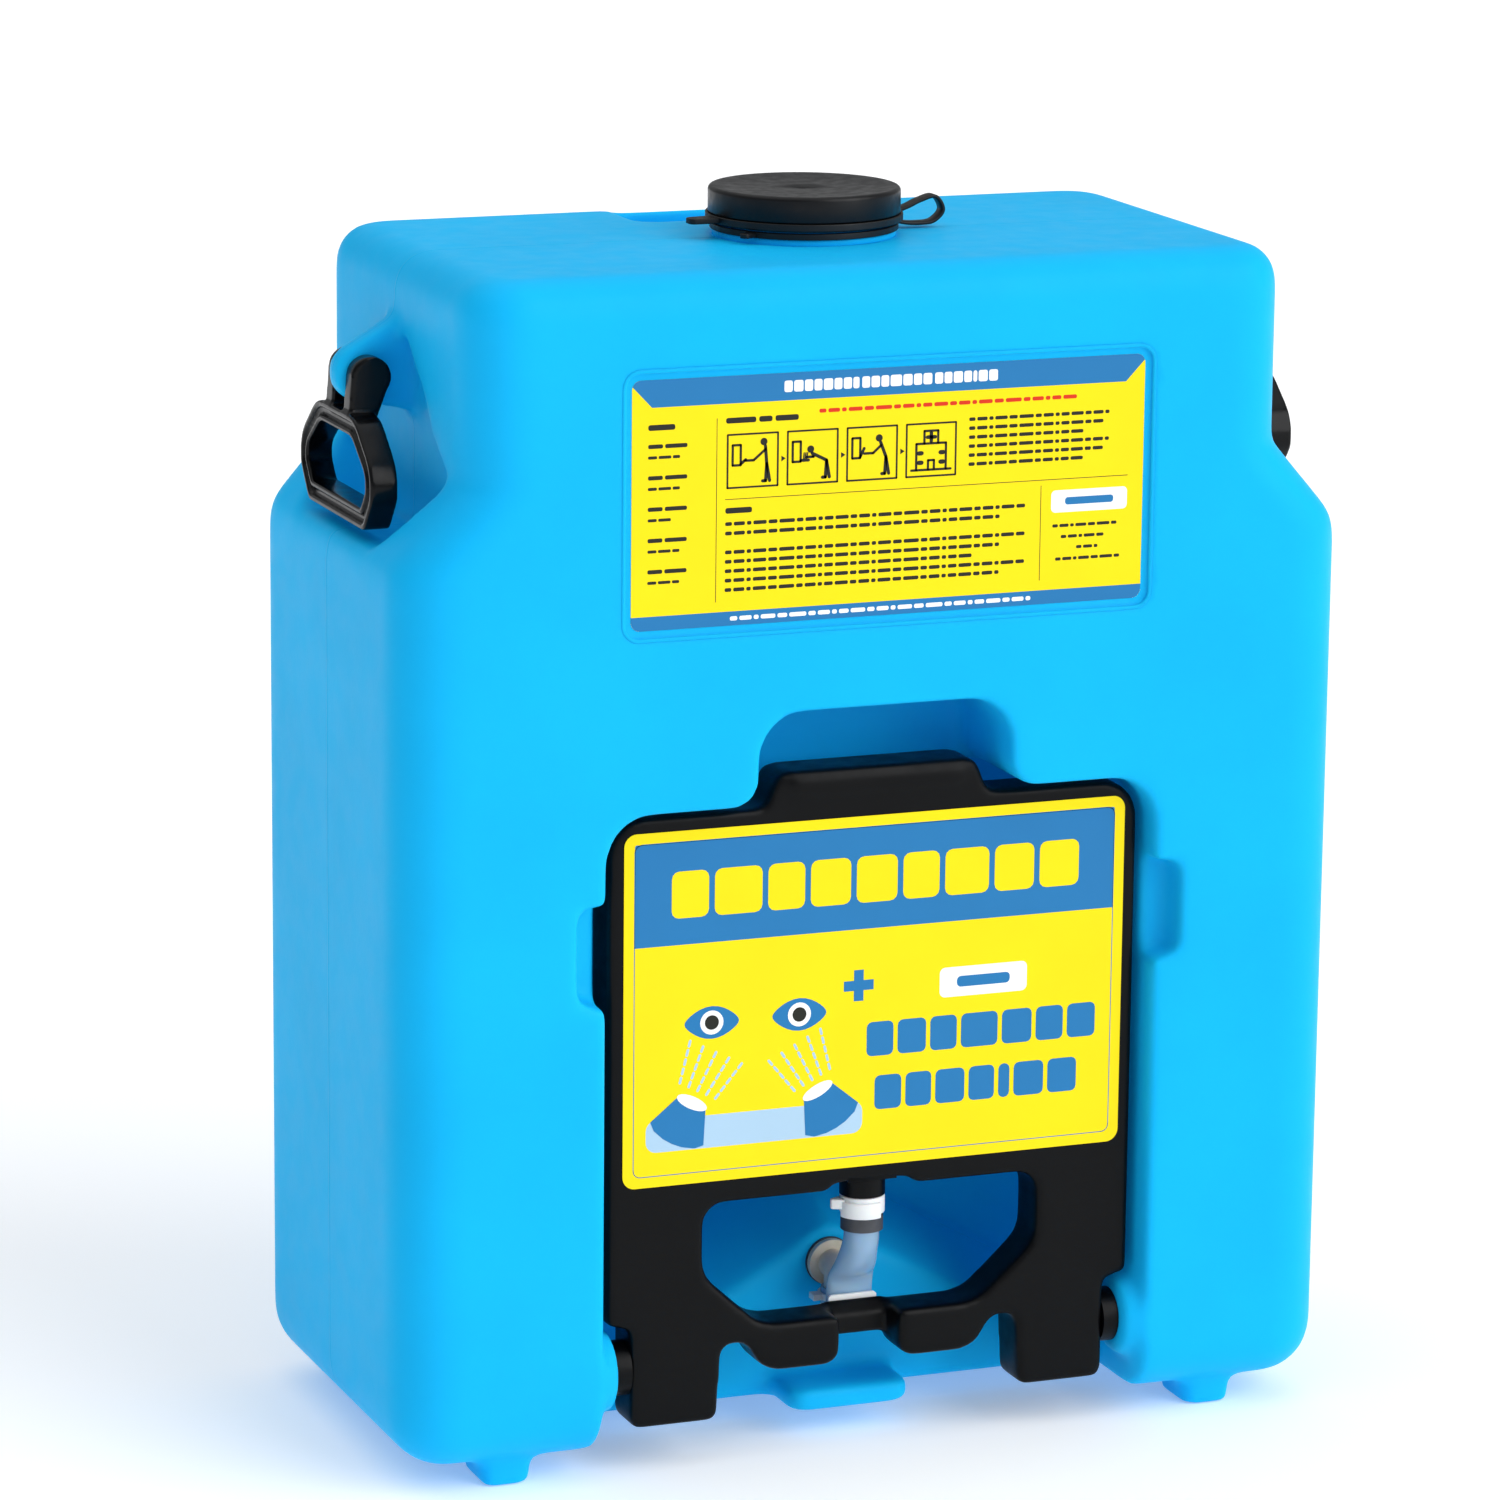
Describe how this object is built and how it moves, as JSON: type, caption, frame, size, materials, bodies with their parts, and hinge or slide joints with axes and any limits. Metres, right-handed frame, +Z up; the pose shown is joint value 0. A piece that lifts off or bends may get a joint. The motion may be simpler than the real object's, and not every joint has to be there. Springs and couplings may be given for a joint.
{
  "type": "portable gravity-fed eyewash station",
  "caption": "hollow moulded water tank with carrying handles and a filler cap; a front tray swings down to bring its spray heads up and open the pinched hose",
  "frame": {"origin": "on the floor under the middle of the tank", "axes": "+X right seen from the front, +Y from front to back, +Z up"},
  "size_m": [0.54, 0.26, 0.676],
  "materials": {
    "tank": "soft satin rotomoulded polyethylene",
    "black": "satin moulded plastic",
    "label": "printed vinyl sheet",
    "steel": "stainless",
    "ivory": "moulded nylon",
    "white": "moulded nylon",
    "grey": "rubber",
    "hose": "clear silicone",
    "yellow": "moulded plastic"
  },
  "bodies": {
    "tank": {"tank_shell": "tank", "filler_neck": "tank", "instruction_label": "label", "hinge_pins": "steel", "handle_pins": "steel", "outlet_fitting": "ivory", "outlet_seal": "grey", "outlet_nut": "ivory", "outlet_hose_clamp": "white", "neck_ring": "black", "tether_strap": "black", "hose": "hose"},
    "tray": {"tray_panel": "black", "tray_label": "label", "hinge_bushes": "black", "pinch_plate": "white", "pinch_screws": "steel", "inlet_barb": "black", "tray_hose_clamp": "white", "hose_collar": "grey", "manifold": "black", "pipe_clips": "steel", "clip_screws": "steel", "left_spray_head": "black", "right_spray_head": "black", "left_diffuser": "white", "right_diffuser": "white", "dust_cap_pins": "steel"},
    "cap_carrier": {"cap_ring": "black"},
    "cap": {"filler_cap": "black", "cap_gasket": "grey"},
    "left_lid": {"left_dust_cap": "yellow"},
    "right_lid": {"right_dust_cap": "yellow"},
    "left_grip": {"left_handle": "black"},
    "right_grip": {"right_handle": "black"}
  },
  "joints": [
    {"name": "tray_hinge", "type": "hinge", "parent": "tank", "child": "tray", "pos_m": [0, -0.104, 0.057], "axis": [1, 0, 0], "range_deg": [0, 90], "deforming": ["hose"]},
    {"name": "cap_rise", "type": "slide", "parent": "tank", "child": "cap_carrier", "axis": [0, 0, 1], "range_m": [0, 0.009], "deforming": ["tether_strap"]},
    {"name": "cap_turn", "type": "hinge", "parent": "cap_carrier", "child": "cap", "pos_m": [0, 0, 0.66], "axis": [0, 0, 1], "range_deg": [0, 540]},
    {"name": "left_lid_hinge", "type": "hinge", "parent": "tray", "child": "left_lid", "pos_m": [-0.052, -0.0655, 0.262], "axis": [1, 0, 0], "range_deg": [0, 120]},
    {"name": "right_lid_hinge", "type": "hinge", "parent": "tray", "child": "right_lid", "pos_m": [0.052, -0.0655, 0.262], "axis": [1, 0, 0], "range_deg": [0, 120]},
    {"name": "left_handle_swing", "type": "hinge", "parent": "tank", "child": "left_grip", "pos_m": [-0.251, 0, 0.587], "axis": [0, 1, 0], "range_deg": [-10, 140]},
    {"name": "right_handle_swing", "type": "hinge", "parent": "tank", "child": "right_grip", "pos_m": [0.251, 0, 0.587], "axis": [0, -1, 0], "range_deg": [-10, 140]}
  ],
  "couplings": [
    {"joint": "cap_rise", "follows": "cap_turn", "m_per_rad": 0.00095493}
  ]
}
